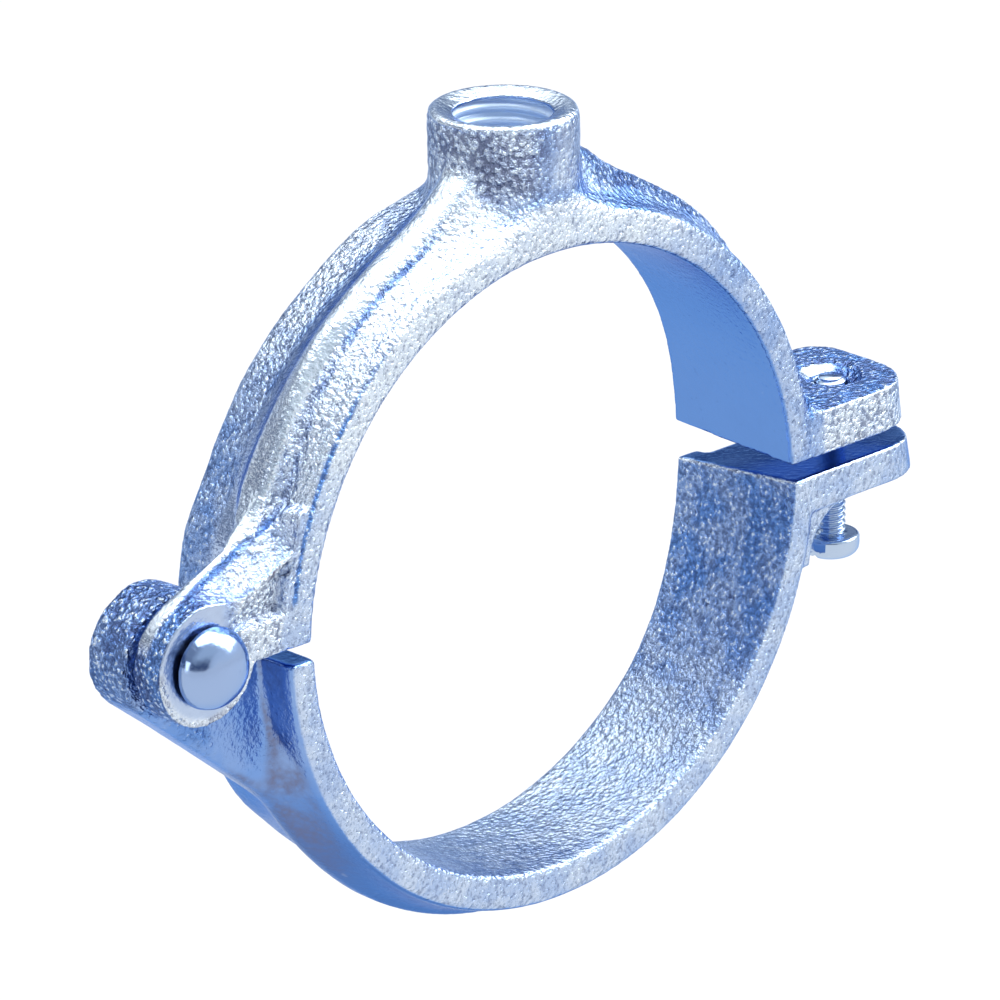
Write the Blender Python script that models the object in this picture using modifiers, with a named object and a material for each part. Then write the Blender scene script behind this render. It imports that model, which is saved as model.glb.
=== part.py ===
"""Split ring hanger for a 2 1/2 inch steel pipe, hung from a 1/2 inch threaded rod.

Two cast half rings close round the pipe. They are hinged on a rivet at the left
and drawn together by a machine screw through two ears at the right. A tapped
boss on top takes the rod. The origin is the middle of the boss's top face, +Z
runs up the rod and Y runs along the pipe. Lengths are in metres.
"""
import math

import bmesh
import bpy
from mathutils import Matrix, Vector

MM = 0.001

# Ring bands
BORE_RADIUS = 37.0 * MM
BAND_WALL = 3.5 * MM
BAND_WIDTH = 17.5 * MM
EDGE_ROUND = 0.9 * MM
BORE_EDGE_ROUND = 0.4 * MM
SPLIT_GAP = 2.0 * MM
SPLIT_LEVEL = 0.3 * MM
UPPER_HINGE_SKEW = math.radians(5.0)
UPPER_EAR_SKEW = math.radians(2.2)
LOWER_HINGE_SKEW = math.radians(1.6)
LOWER_EAR_SKEW = math.radians(5.5)
BAND_STEP = math.radians(3.0)
BORE_EASE = 0.9 * MM
UPPER_OFFSET = 0.4 * MM
EAR_SPREAD = 1.8 * MM
EAR_SPREAD_END = math.radians(45.0)
UPPER_NECK_SWELL = 1.2 * MM
UPPER_NECK_START = math.radians(25.0)
UPPER_NECK_END = math.radians(13.0)
LOWER_NECK_SWELL = 0.6 * MM
LOWER_NECK_START = math.radians(44.0)
LOWER_NECK_END = math.radians(32.0)
SHOULDER_SWELL = 1.1 * MM
SHOULDER_START = math.radians(36.0)
SHOULDER_END = math.radians(6.0)
HINGE_END_TILT = math.radians(14.0)

# Rib round the outside of the bands
UPPER_RIB_HEIGHT = 2.5 * MM
LOWER_RIB_HEIGHT = 2.0 * MM
RIB_WIDTH = 3.4 * MM
RIB_SHIFT = -1.45 * MM
RIB_ROUND = 0.6 * MM
FRONT_FLANK = 4.8 * MM
REAR_FLANK = 3.8 * MM
RIB_FADE_START = math.radians(52.0)
RIB_FADE_END = math.radians(18.0)
RIB_FADE_LEFT = 0.3

# Boss for the rod
BOSS_RISE = 10.6 * MM
BOSS_RADIUS = 8.45 * MM
BOSS_TOP_ROUND = 1.0 * MM
BOSS_FOOT_FILLET = 2.6 * MM
ROD_HOLE_RADIUS = 5.4 * MM
ROD_SINK_RADIUS = 6.9 * MM
ROD_SINK_DEPTH = 1.8 * MM
GUSSET_TOP = 5.8 * MM
GUSSET_FOOT = 15.4 * MM
GUSSET_SLOPE = 0.8
GUSSET_BLEND = 1.0 * MM
GUSSET_WIDTH = 4.8 * MM

# Hinge lugs, which lap side by side on the rivet
HINGE_REACH = 11.8 * MM
HINGE_LIFT = 2.9 * MM
LUG_RADIUS = 6.9 * MM
FRONT_LUG_THICKNESS = 4.9 * MM
REAR_LUG_THICKNESS = 5.9 * MM
LUG_SETBACK = 0.2 * MM
LOWER_LUG_HEEL = 0.7 * MM
UPPER_LUG_ROOT = math.radians(23.0)
LOWER_LUG_ROOT = math.radians(29.5)
LUG_ROOT_SINK = 0.8 * MM
UPPER_LUG_BLEND = 2.0 * MM
LOWER_LUG_BLEND = 1.0 * MM
LUG_EDGE_ROUND = 1.4 * MM
LUG_SPREAD_START = math.radians(25.0)
LUG_SPREAD_END = math.radians(11.0)

# Rivet
RIVET_RADIUS = 3.2 * MM
RIVET_HEAD_RADIUS = 4.65 * MM
RIVET_HEAD_HEIGHT = 3.55 * MM
RIVET_TAIL_RADIUS = 4.3 * MM
RIVET_TAIL_HEIGHT = 1.7 * MM

# Ears for the clamp screw
SCREW_REACH = 11.05 * MM
SCREW_SHIFT = -0.4 * MM
UPPER_EAR_THICKNESS = 5.5 * MM
LOWER_EAR_THICKNESS = 4.4 * MM
UPPER_EAR_MARGIN = 8.6 * MM
LOWER_EAR_MARGIN = 9.6 * MM
EAR_FRONT_CORNER = 7.8 * MM
EAR_REAR_CORNER = 4.2 * MM
EAR_DRAFT = 1.7 * MM
EAR_SETBACK = 0.12 * MM
UPPER_EAR_ROUND = 0.6 * MM
LOWER_EAR_ROUND = 1.0 * MM
UPPER_EAR_FILLET = 2.2 * MM
LOWER_EAR_FILLET = 7.0 * MM
SCREW_SINK_RADIUS = 3.9 * MM
SCREW_SINK_DEPTH = 0.8 * MM

# Clamp screw
SCREW_RADIUS = 1.75 * MM
SCREW_TIP_CHAMFER = 0.35 * MM
SCREW_HEAD_RADIUS = 3.4 * MM
SCREW_HEAD_HEIGHT = 2.6 * MM
SCREW_HEAD_ROUND = 1.3 * MM
SCREW_BACKED_OUT = 7.9 * MM
SCREW_SINK_IN = 0.35 * MM
SLOT_WIDTH = 1.0 * MM
SLOT_DEPTH = 1.1 * MM

# Clearances
HINGE_CLEARANCE = 0.3 * MM
TAPPED_CLEARANCE = 0.35 * MM
EAR_HOLE_CLEARANCE = 0.5 * MM
OVERCUT = 2.0 * MM

# Places that follow from the sizes above
OUTER_RADIUS = BORE_RADIUS + BAND_WALL
UPPER_CREST = OUTER_RADIUS + UPPER_RIB_HEIGHT
LOWER_CREST = OUTER_RADIUS + LOWER_RIB_HEIGHT
RING_CENTRE = Vector((0.0, 0.0, -(OUTER_RADIUS + BOSS_RISE)))
HALF_WIDTH = BAND_WIDTH / 2.0
HALF_GAP = SPLIT_GAP / 2.0
HINGE_X = -(OUTER_RADIUS + HINGE_REACH)
HINGE_Z = HINGE_LIFT
SCREW_X = OUTER_RADIUS + SCREW_REACH
FRONT_LUG_FACE = -HALF_WIDTH + LUG_SETBACK
FRONT_LUG_BACK = FRONT_LUG_FACE + FRONT_LUG_THICKNESS
REAR_LUG_FACE = FRONT_LUG_BACK + HINGE_CLEARANCE
REAR_LUG_BACK = REAR_LUG_FACE + REAR_LUG_THICKNESS
UPPER_EAR_TOP = SPLIT_LEVEL + HALF_GAP + UPPER_EAR_THICKNESS
LOWER_EAR_BOTTOM = SPLIT_LEVEL - HALF_GAP - LOWER_EAR_THICKNESS
SCREW_HEAD_SEAT = LOWER_EAR_BOTTOM - SCREW_BACKED_OUT
SCREW_TIP = UPPER_EAR_TOP - SCREW_SINK_DEPTH + SCREW_SINK_IN


def clear_scene():
    """Remove every object, so the file builds the same from any start."""
    for item in list(bpy.data.objects):
        bpy.data.objects.remove(item, do_unlink=True)


def new_collection(name):
    found = bpy.data.collections.get(name)
    if found is None:
        found = bpy.data.collections.new(name)
        bpy.context.scene.collection.children.link(found)
    return found


def metal(name, colour, roughness, metallic):
    """A plain Principled material."""
    made = bpy.data.materials.new(name)
    made.use_nodes = True
    shader = made.node_tree.nodes["Principled BSDF"]
    shader.inputs["Base Color"].default_value = (*colour, 1.0)
    shader.inputs["Roughness"].default_value = roughness
    shader.inputs["Metallic"].default_value = metallic
    return made


def smooth_step(value, low, high):
    share = min(1.0, max(0.0, (value - low) / (high - low)))
    return share * share * (3.0 - 2.0 * share)


def mix(first, second, share):
    return first + (second - first) * share


def link_mesh(name, mesh, collection):
    item = bpy.data.objects.new(name, mesh)
    collection.objects.link(item)
    return item


def bake(item):
    """Replace an object by the mesh that its modifiers or curve make."""
    graph = bpy.context.evaluated_depsgraph_get()
    graph.update()
    mesh = bpy.data.meshes.new_from_object(item.evaluated_get(graph))
    body = bmesh.new()
    body.from_mesh(mesh)
    bmesh.ops.remove_doubles(body, verts=body.verts, dist=0.000002)
    bmesh.ops.recalc_face_normals(body, faces=body.faces)
    body.to_mesh(mesh)
    body.free()
    made = bpy.data.objects.new(item.name, mesh)
    made.matrix_world = item.matrix_world.copy()
    for collection in item.users_collection:
        collection.objects.link(made)
    name = item.name
    bpy.data.objects.remove(item, do_unlink=True)
    made.name = name
    return made


def turned(name, profile, collection, steps):
    """Turn a closed run of (radius, height) points round Z; it runs down its outer side."""
    mesh = bpy.data.meshes.new(name)
    points = [(radius, 0.0, height) for radius, height in profile]
    edges = [(i, i + 1) for i in range(len(points) - 1)]
    mesh.from_pydata(points, edges, [])
    item = link_mesh(name, mesh, collection)
    screw = item.modifiers.new("turn", "SCREW")
    screw.axis = "Z"
    screw.angle = math.tau
    screw.steps = steps
    screw.render_steps = steps
    screw.use_merge_vertices = True
    screw.merge_threshold = 0.00001
    return bake(item)


def plate(name, outline, thickness, collection):
    """A flat outline in X and Y, thickened evenly about its plane."""
    curve = bpy.data.curves.new(name, "CURVE")
    curve.dimensions = "2D"
    curve.fill_mode = "BOTH"
    curve.extrude = thickness / 2.0
    spline = curve.splines.new("POLY")
    spline.points.add(len(outline) - 1)
    for point, place in zip(spline.points, outline):
        point.co = (place[0], place[1], 0.0, 1.0)
    spline.use_cyclic_u = True
    item = link_mesh(name, curve, collection)
    return bake(item)


def upright_plate(name, outline, front, back, collection):
    """A plate whose outline lies in X and Z and which runs from front to back along Y."""
    item = plate(name, outline, back - front, collection)
    stand = Matrix.Rotation(math.radians(90.0), 4, "X")
    item.matrix_world = Matrix.Translation((0.0, (front + back) / 2.0, 0.0)) @ stand
    return item


def round_rims(item, width, segments=2):
    """Round the sharp edges of a plain solid."""
    bevel = item.modifiers.new("rims", "BEVEL")
    bevel.width = width
    bevel.segments = segments
    bevel.limit_method = "ANGLE"
    bevel.angle_limit = math.radians(50.0)
    return bake(item)


def boolean(item, other, operation):
    """Join or cut with the exact solver, then leave the second solid as a guide."""
    step = item.modifiers.new(operation.lower(), "BOOLEAN")
    step.operation = operation
    step.solver = "EXACT"
    step.object = other
    made = bake(item)
    bpy.data.objects.remove(other, do_unlink=True)
    return made


def cylinder(name, radius, length, centre, axis, collection, sides=48):
    """A plain cylinder, for a hole or a pin."""
    body = bmesh.new()
    bmesh.ops.create_cone(
        body, cap_ends=True, segments=sides, radius1=radius, radius2=radius, depth=length
    )
    mesh = bpy.data.meshes.new(name)
    body.to_mesh(mesh)
    body.free()
    item = link_mesh(name, mesh, collection)
    turn = Vector((0.0, 0.0, 1.0)).rotation_difference(Vector(axis)).to_matrix().to_4x4()
    item.matrix_world = Matrix.Translation(centre) @ turn
    return item


def block(name, size, centre, collection, turn=None):
    body = bmesh.new()
    bmesh.ops.create_cube(body, size=1.0)
    bmesh.ops.scale(body, vec=size, verts=body.verts)
    mesh = bpy.data.meshes.new(name)
    body.to_mesh(mesh)
    body.free()
    item = link_mesh(name, mesh, collection)
    item.matrix_world = Matrix.Translation(centre) @ (turn or Matrix.Identity(4))
    return item


def arc(centre, radius, start, end, steps):
    """Points along an arc, angles in degrees."""
    points = []
    for i in range(steps + 1):
        angle = math.radians(mix(start, end, i / steps))
        points.append((centre[0] + radius * math.cos(angle), centre[1] + radius * math.sin(angle)))
    return points


def crest_radius(sign):
    return UPPER_CREST if sign > 0 else LOWER_CREST


def soft_rise(gap, blend):
    """A height that follows the gap where it is above nothing, with a rounded start."""
    return 0.5 * (gap + math.sqrt(gap * gap + blend * blend))


def lug_line(sign):
    """The straight edge from a lug's round end to the band: its corner, touch point and angle."""
    root_angle = math.pi - UPPER_LUG_ROOT if sign > 0 else LOWER_LUG_ROOT - math.pi
    reach = crest_radius(sign) - LUG_ROOT_SINK
    root = Vector((math.cos(root_angle), math.sin(root_angle))) * reach
    hinge = Vector((HINGE_X, HINGE_Z))
    away = root - hinge
    radius = LUG_RADIUS if sign > 0 else LUG_RADIUS + LOWER_LUG_HEEL
    swing = math.acos(radius / away.length)
    angle = math.atan2(away.y, away.x) + sign * swing
    touch = hinge + Vector((math.cos(angle), math.sin(angle))) * radius
    return root, touch, angle


def line_radius(theta, root, touch):
    """Distance from the ring's centre to the lug's straight edge along one direction."""
    ray = Vector((math.cos(theta), math.sin(theta)))
    along = touch - root
    cross = ray.x * along.y - ray.y * along.x
    if abs(cross) < 1e-9:
        return OUTER_RADIUS
    reach = (root.x * along.y - root.y * along.x) / cross
    return reach


def gusset_rise(theta):
    """How far the rib climbs above its crest on its straight run up to the boss."""
    side = abs(math.cos(theta))
    foot_height = math.sqrt(UPPER_CREST**2 - GUSSET_FOOT**2)
    line = (foot_height + GUSSET_SLOPE * GUSSET_FOOT) / (math.sin(theta) + GUSSET_SLOPE * side)
    line = min(line, OUTER_RADIUS + GUSSET_TOP)
    fade = smooth_step(UPPER_CREST * side, 1.6 * GUSSET_FOOT, 1.2 * GUSSET_FOOT)
    return soft_rise(line - UPPER_CREST, GUSSET_BLEND) * fade


def rib_section(theta, sign):
    """Front, rear, top and flank runs of the rib at one direction round the ring."""
    front = RIB_SHIFT - RIB_WIDTH / 2.0
    rear = RIB_SHIFT + RIB_WIDTH / 2.0
    from_ear = math.acos(max(-1.0, min(1.0, math.cos(theta))))
    kept = mix(RIB_FADE_LEFT, 1.0, smooth_step(from_ear, RIB_FADE_END, RIB_FADE_START))
    crest = mix(OUTER_RADIUS, crest_radius(sign), kept)
    top = crest
    front_run = FRONT_FLANK
    rear_run = REAR_FLANK
    if sign > 0 and math.sin(theta) > 0.5:
        rise = gusset_rise(theta)
        top = crest + rise
        extra = (GUSSET_WIDTH - RIB_WIDTH) / 2.0 * smooth_step(rise, 0.0, 4.0 * MM)
        front = front - extra
        rear = rear + extra
    if math.cos(theta) < -0.75:
        root, touch, _ = lug_line(sign)
        blend = UPPER_LUG_BLEND if sign > 0 else LOWER_LUG_BLEND
        limit = -HINGE_X - 0.5 * LUG_RADIUS
        lifted = crest + soft_rise(line_radius(theta, root, touch) - crest, blend)
        fade = smooth_step(-math.cos(theta), 0.75, 0.86)
        top = mix(top, min(lifted, limit), fade)
        share = smooth_step(math.pi - from_ear, LUG_SPREAD_START, LUG_SPREAD_END)
        inset = LUG_EDGE_ROUND
        if sign > 0:
            front = mix(front, FRONT_LUG_FACE + inset, share)
            rear = mix(rear, FRONT_LUG_BACK - inset, share)
        else:
            front = mix(front, REAR_LUG_FACE + inset, share)
            rear = mix(rear, REAR_LUG_BACK - inset, share)
        front_run = mix(front_run, 1.2 * MM, share)
        rear_run = mix(rear_run, 1.2 * MM, share)
    return front, rear, top, front_run, rear_run


def half_offset(theta, sign):
    """How far a half's band lies outward because the upper half sits a little towards the hinge."""
    return -UPPER_OFFSET * math.cos(theta) if sign > 0 else 0.0


def rear_width(theta):
    """The band's rear reach, which grows beside the ears."""
    from_ear = math.acos(max(-1.0, min(1.0, math.cos(theta))))
    return HALF_WIDTH + EAR_SPREAD * smooth_step(from_ear, EAR_SPREAD_END, 0.0)


def rear_radius(theta, sign):
    """Radius of the band's rear rim, which swells towards the hinge and beside the boss."""
    reach = OUTER_RADIUS + half_offset(theta, sign)
    from_ear = math.acos(max(-1.0, min(1.0, math.cos(theta))))
    from_hinge = math.pi - from_ear
    if sign < 0:
        return reach + LOWER_NECK_SWELL * smooth_step(from_hinge, LOWER_NECK_START, LOWER_NECK_END)
    reach += UPPER_NECK_SWELL * smooth_step(from_hinge, UPPER_NECK_START, UPPER_NECK_END)
    from_boss = abs(from_ear - math.pi / 2.0)
    return reach + SHOULDER_SWELL * smooth_step(from_boss, SHOULDER_START, SHOULDER_END)


def outer_points(theta, sign):
    """The band's outer side at one direction, from its rear edge to its front edge."""
    front, rear, top, front_run, rear_run = rib_section(theta, sign)
    base = OUTER_RADIUS + half_offset(theta, sign)
    rear_base = rear_radius(theta, sign)
    edge = rear_width(theta)
    flat = HALF_WIDTH - EDGE_ROUND
    rear_flat = edge - EDGE_ROUND
    rear_foot = min(rear + rear_run, rear_flat - 0.05 * MM)
    front_foot = max(front - front_run, -flat + 0.05 * MM)
    if front < front_foot + 0.3 * MM:
        front_foot = front - 0.05 * MM
    bend = 0.3 * EDGE_ROUND
    points = [(edge, rear_base - EDGE_ROUND), (edge - bend, rear_base - bend)]
    points.append((rear_flat, rear_base))
    shoulder = max(top - RIB_ROUND, max(base, rear_base) + 0.05 * MM)
    top = max(top, shoulder + 0.1 * MM)
    tuck = 0.3 * RIB_ROUND
    for share in (0.0, 0.3, 0.55, 0.8, 1.0):
        points.append((mix(rear_foot, rear, share), mix(rear_base, shoulder, share * share)))
    points.append((rear - tuck, top - min(tuck, 0.3 * (top - shoulder))))
    points.append((rear - RIB_ROUND, top))
    points.append((front + RIB_ROUND, top))
    points.append((front + tuck, top - min(tuck, 0.3 * (top - shoulder))))
    for share in (1.0, 0.8, 0.55, 0.3, 0.0):
        points.append((mix(front_foot, front, share), mix(base, shoulder, share * share)))
    low = min(-flat, front_foot - 0.02 * MM)
    points.append((low, base - 0.01 * MM))
    points.append((-HALF_WIDTH + bend, base - bend))
    points.append((-HALF_WIDTH, base - EDGE_ROUND))
    return points


def section_points(theta, sign):
    """The whole closed section at one direction, in the order that faces outward."""
    start = -HALF_WIDTH
    edge = rear_width(theta)
    rear_bore = BORE_RADIUS + half_offset(theta, sign)
    front_bore = rear_bore - BORE_EASE * abs(math.sin(theta))
    inner = [
        (start, front_bore + BORE_EDGE_ROUND),
        (start + BORE_EDGE_ROUND, front_bore),
        (edge - BORE_EDGE_ROUND, rear_bore),
        (edge, rear_bore + BORE_EDGE_ROUND),
    ]
    ray = (math.cos(theta), math.sin(theta))
    return [Vector((r * ray[0], y, r * ray[1])) for y, r in inner + outer_points(theta, sign)]


def band(name, sign, collection):
    """Loft half of the ring from section to section, a little past both ends."""
    spare = math.radians(3.0)
    low, high = -spare, math.pi + spare
    count = max(24, round((high - low) / BAND_STEP))
    body = bmesh.new()
    loops = []
    for i in range(count + 1):
        theta = sign * mix(low, high, i / count)
        loops.append([body.verts.new(point) for point in section_points(theta, sign)])
    size = len(loops[0])
    for first, second in zip(loops, loops[1:]):
        for i in range(size):
            j = (i + 1) % size
            body.faces.new((first[i], first[j], second[j], second[i]))
    body.faces.new(loops[0])
    body.faces.new(list(reversed(loops[-1])))
    bmesh.ops.recalc_face_normals(body, faces=body.faces)
    bmesh.ops.triangulate(body, faces=[f for f in body.faces if len(f.verts) > 4])
    mesh = bpy.data.meshes.new(name)
    body.to_mesh(mesh)
    body.free()
    return link_mesh(name, mesh, collection)


def split_cutter(sign, side, collection):
    """A block that trims one end of a half ring to its own side of the split."""
    if side > 0:
        skew = UPPER_EAR_SKEW if sign > 0 else -LOWER_EAR_SKEW
    else:
        skew = UPPER_HINGE_SKEW if sign > 0 else -LOWER_HINGE_SKEW
    size = 3.0 * (SCREW_X + LOWER_EAR_MARGIN)
    turn = Matrix.Rotation(skew, 4, "X")
    along = side * (size / 2.0 + BORE_RADIUS / 3.0)
    front = Vector((along, -HALF_WIDTH, SPLIT_LEVEL + sign * HALF_GAP))
    middle = front - (turn @ Vector((0.0, 0.0, 1.0))) * (sign * size / 2.0)
    return block("cut_split", (size, size, size), middle, collection, turn)


def hinge_end_cutter(collection):
    """A block that tilts the upper half's end face away from the split, from the bore to the lug."""
    size = 40.0 * MM
    turn = Matrix.Rotation(-HINGE_END_TILT, 4, "Y")
    corner = Vector((-BORE_RADIUS, 0.0, SPLIT_LEVEL + HALF_GAP))
    middle = corner - (turn @ Vector((0.0, 0.0, 1.0))) * (size / 2.0)
    item = block("cut_hinge_end", (size, size, size), middle, collection, turn)
    limit = HINGE_X + LUG_RADIUS + 0.05 * MM
    keep = block("keep_end", (size, size, size), (limit + size / 2.0, 0.0, 0.0), collection)
    return boolean(item, keep, "INTERSECT")


def ear_outline(end):
    """Plan of an ear: square at the band, round at its free corners."""
    root = mix(BORE_RADIUS, OUTER_RADIUS, 0.45)
    half = HALF_WIDTH - EAR_SETBACK
    front = min(EAR_FRONT_CORNER, half - 0.5 * MM)
    rear = min(EAR_REAR_CORNER, half - 0.5 * MM)
    points = [(root, -half)]
    points += arc((end - front, -half + front), front, -90.0, 0.0, 7)
    points += arc((end - rear, half - rear), rear, 0.0, 90.0, 6)
    points.append((root, half))
    return points


def ear(name, bottom, top, margin, rim, collection):
    """An ear whose free end leans inward towards its top, as a casting does."""
    end = SCREW_X + margin
    item = plate(name, ear_outline(end), top - bottom, collection)
    root = mix(BORE_RADIUS, OUTER_RADIUS, 0.45)
    for vertex in item.data.vertices:
        if vertex.co.z > 0.0:
            share = (vertex.co.x - root) / (end - root)
            vertex.co.x -= EAR_DRAFT * share * share
    item.matrix_world = Matrix.Translation((0.0, 0.0, (bottom + top) / 2.0))
    return round_rims(item, rim)


def ear_fillet(name, level, sign, radius, rim, collection):
    """The hollow corner that runs from the band down or up on to an ear."""
    root = mix(BORE_RADIUS, OUTER_RADIUS, 0.45)
    far = math.sqrt(max(OUTER_RADIUS**2 - level**2, 0.0)) + radius
    sink = 1.0 * MM
    outline = [(root, level - sign * sink), (far, level - sign * sink)]
    centre = (far, level + sign * radius)
    start, end = (-90.0, -180.0) if sign > 0 else (90.0, 180.0)
    outline += arc(centre, radius, start, end, 7)
    outline.append((root, level + sign * radius))
    half = HALF_WIDTH - EAR_SETBACK - 0.5 * rim
    return upright_plate(name, outline, -half, half, collection)


def heeled_arc(centre, start, end, steps):
    """The lower lug's round end, which grows a little fuller on its way down to the band."""
    points = []
    for i in range(steps + 1):
        degrees = mix(start, end, i / steps)
        radius = LUG_RADIUS + LOWER_LUG_HEEL * smooth_step(degrees, 110.0, min(end, 200.0))
        angle = math.radians(degrees)
        points.append((centre[0] + radius * math.cos(angle), centre[1] + radius * math.sin(angle)))
    return points


def lug(name, sign, front, back, collection):
    """A hinge lug: round end, a straight outer edge and a web to the band."""
    root, touch, angle = lug_line(sign)
    web = BORE_RADIUS + 0.5 * BAND_WALL
    seat = SPLIT_LEVEL + sign * (HALF_GAP + 0.02 * MM)
    width = math.sqrt(max(LUG_RADIUS**2 - (HINGE_Z - seat) ** 2, 0.0))
    inner_angle = math.degrees(math.atan2(seat - HINGE_Z, width))
    outer_angle = math.degrees(angle)
    if sign > 0:
        outline = [(-math.sqrt(web**2 - seat**2), seat)]
        low_x = -math.sqrt(web**2 - root.y**2) if abs(root.y) < web else root.x
        outline.append((low_x, root.y))
        outline.append((root.x, root.y))
        outline += arc((HINGE_X, HINGE_Z), LUG_RADIUS, outer_angle, 360.0 + inner_angle, 26)
    else:
        start = inner_angle
        end = outer_angle
        while end < start + 180.0:
            end += 360.0
        outline = [(-math.sqrt(web**2 - seat**2), seat)]
        outline += heeled_arc((HINGE_X, HINGE_Z), start, end, 26)
        outline.append((root.x, root.y))
        share = web / root.length
        outline.append((root.x * share, root.y * share))
    item = upright_plate(name, outline, front, back, collection)
    return round_rims(item, LUG_EDGE_ROUND, 3)


def boss(collection, cutters):
    """The turned boss with its foot faired on to the band, trimmed to the band's width."""
    top = OUTER_RADIUS + BOSS_RISE
    foot = OUTER_RADIUS - 0.2 * MM
    profile = [(0.0, top)]
    profile += arc(
        (BOSS_RADIUS - BOSS_TOP_ROUND, top - BOSS_TOP_ROUND), BOSS_TOP_ROUND, 90.0, 0.0, 5
    )
    centre = (BOSS_RADIUS + BOSS_FOOT_FILLET, foot + BOSS_FOOT_FILLET)
    profile += arc(centre, BOSS_FOOT_FILLET, 180.0, 270.0, 6)
    low = BORE_RADIUS * 0.9
    profile.append((BOSS_RADIUS + BOSS_FOOT_FILLET, low))
    profile.append((0.0, low))
    item = turned("boss", profile, collection, 56)
    depth = 2.0 * (BAND_WIDTH / 2.0 - 0.1 * MM)
    reach = 8.0 * BOSS_RADIUS
    keep = block("keep_boss", (reach, depth, reach), (0.0, 0.0, top), cutters)
    item = boolean(item, keep, "INTERSECT")
    inside = mix(BORE_RADIUS, OUTER_RADIUS, 0.45)
    bore = cylinder("cut_bore", inside, 4.0 * BAND_WIDTH, (0, 0, 0), (0, 1, 0), cutters, 96)
    return boolean(item, bore, "DIFFERENCE")


def rod_hole_cutter(collection):
    """The tapped hole's core with its sunk mouth."""
    top = OUTER_RADIUS + BOSS_RISE
    spread = (ROD_SINK_RADIUS - ROD_HOLE_RADIUS) / ROD_SINK_DEPTH
    profile = [
        (0.0, top + OVERCUT),
        (ROD_SINK_RADIUS + OVERCUT * spread, top + OVERCUT),
        (ROD_HOLE_RADIUS, top - ROD_SINK_DEPTH),
        (ROD_HOLE_RADIUS, BORE_RADIUS * 0.8),
        (0.0, BORE_RADIUS * 0.8),
    ]
    return turned("cut_rod_hole", profile, collection, 48)


def screw_sink_cutter(collection):
    """The shallow dish round the screw's end on top of the upper ear."""
    rim = SCREW_SINK_RADIUS
    hole = SCREW_RADIUS + TAPPED_CLEARANCE
    profile = [
        (0.0, OVERCUT),
        (rim + 0.3 * OVERCUT, OVERCUT),
        (rim, 0.0),
        (mix(hole, rim, 0.6), -0.65 * SCREW_SINK_DEPTH),
        (hole, -SCREW_SINK_DEPTH),
        (0.0, -SCREW_SINK_DEPTH),
    ]
    item = turned("cut_sink", profile, collection, 40)
    item.matrix_world = Matrix.Translation((SCREW_X, SCREW_SHIFT, UPPER_EAR_TOP))
    return item


def finish_node(item, name, material, origin):
    """Name a solid, move it into the object's frame and set its origin."""
    item.name = name
    item.data.name = name
    item.data.transform(item.matrix_world)
    item.data.transform(Matrix.Translation(-Vector(origin)))
    item.matrix_world = Matrix.Translation(Vector(origin) + RING_CENTRE)
    item.data.materials.clear()
    item.data.materials.append(material)
    for face in item.data.polygons:
        face.use_smooth = True
    item.data.set_sharp_from_angle(angle=math.radians(32.0))
    return item


def upper_half(collection, cutters, material):
    item = band("upper_band", 1, collection)
    flange = ear(
        "upper_ear", -OVERCUT, UPPER_EAR_TOP, UPPER_EAR_MARGIN, UPPER_EAR_ROUND, cutters
    )
    item = boolean(item, flange, "UNION")
    corner = ear_fillet(
        "upper_fillet", UPPER_EAR_TOP, 1, UPPER_EAR_FILLET, UPPER_EAR_ROUND, cutters
    )
    item = boolean(item, corner, "UNION")
    item = boolean(item, split_cutter(1, 1, cutters), "DIFFERENCE")
    item = boolean(item, split_cutter(1, -1, cutters), "DIFFERENCE")
    plate_item = lug("front_lug", 1, FRONT_LUG_FACE, FRONT_LUG_BACK, cutters)
    item = boolean(item, plate_item, "UNION")
    item = boolean(item, hinge_end_cutter(cutters), "DIFFERENCE")
    item = boolean(item, boss(cutters, cutters), "UNION")
    item = boolean(item, rod_hole_cutter(cutters), "DIFFERENCE")
    reach = 6.0 * BAND_WIDTH
    hinge = (HINGE_X, 0.0, HINGE_Z)
    hole = cylinder(
        "cut_rivet", RIVET_RADIUS + HINGE_CLEARANCE, reach, hinge, (0, 1, 0), cutters, 40
    )
    item = boolean(item, hole, "DIFFERENCE")
    item = boolean(item, screw_sink_cutter(cutters), "DIFFERENCE")
    radius = SCREW_RADIUS + TAPPED_CLEARANCE
    hole = cylinder("cut_tapped", radius, reach, (SCREW_X, SCREW_SHIFT, 0), (0, 0, 1), cutters, 32)
    item = boolean(item, hole, "DIFFERENCE")
    return finish_node(item, "upper_half_ring", material, (0.0, 0.0, 0.0))


def lower_half(collection, cutters, material):
    item = band("lower_band", -1, collection)
    flange = ear(
        "lower_ear", LOWER_EAR_BOTTOM, OVERCUT, LOWER_EAR_MARGIN, LOWER_EAR_ROUND, cutters
    )
    item = boolean(item, flange, "UNION")
    corner = ear_fillet(
        "lower_fillet", LOWER_EAR_BOTTOM, -1, LOWER_EAR_FILLET, LOWER_EAR_ROUND, cutters
    )
    item = boolean(item, corner, "UNION")
    item = boolean(item, split_cutter(-1, 1, cutters), "DIFFERENCE")
    item = boolean(item, split_cutter(-1, -1, cutters), "DIFFERENCE")
    plate_item = lug("rear_lug", -1, REAR_LUG_FACE, REAR_LUG_BACK, cutters)
    item = boolean(item, plate_item, "UNION")
    reach = 6.0 * BAND_WIDTH
    hinge = (HINGE_X, 0.0, HINGE_Z)
    hole = cylinder(
        "cut_rivet", RIVET_RADIUS + HINGE_CLEARANCE, reach, hinge, (0, 1, 0), cutters, 40
    )
    item = boolean(item, hole, "DIFFERENCE")
    radius = SCREW_RADIUS + EAR_HOLE_CLEARANCE
    hole = cylinder("cut_ear", radius, reach, (SCREW_X, SCREW_SHIFT, 0), (0, 0, 1), cutters, 32)
    item = boolean(item, hole, "DIFFERENCE")
    return finish_node(item, "lower_half_ring", material, hinge)


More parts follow.
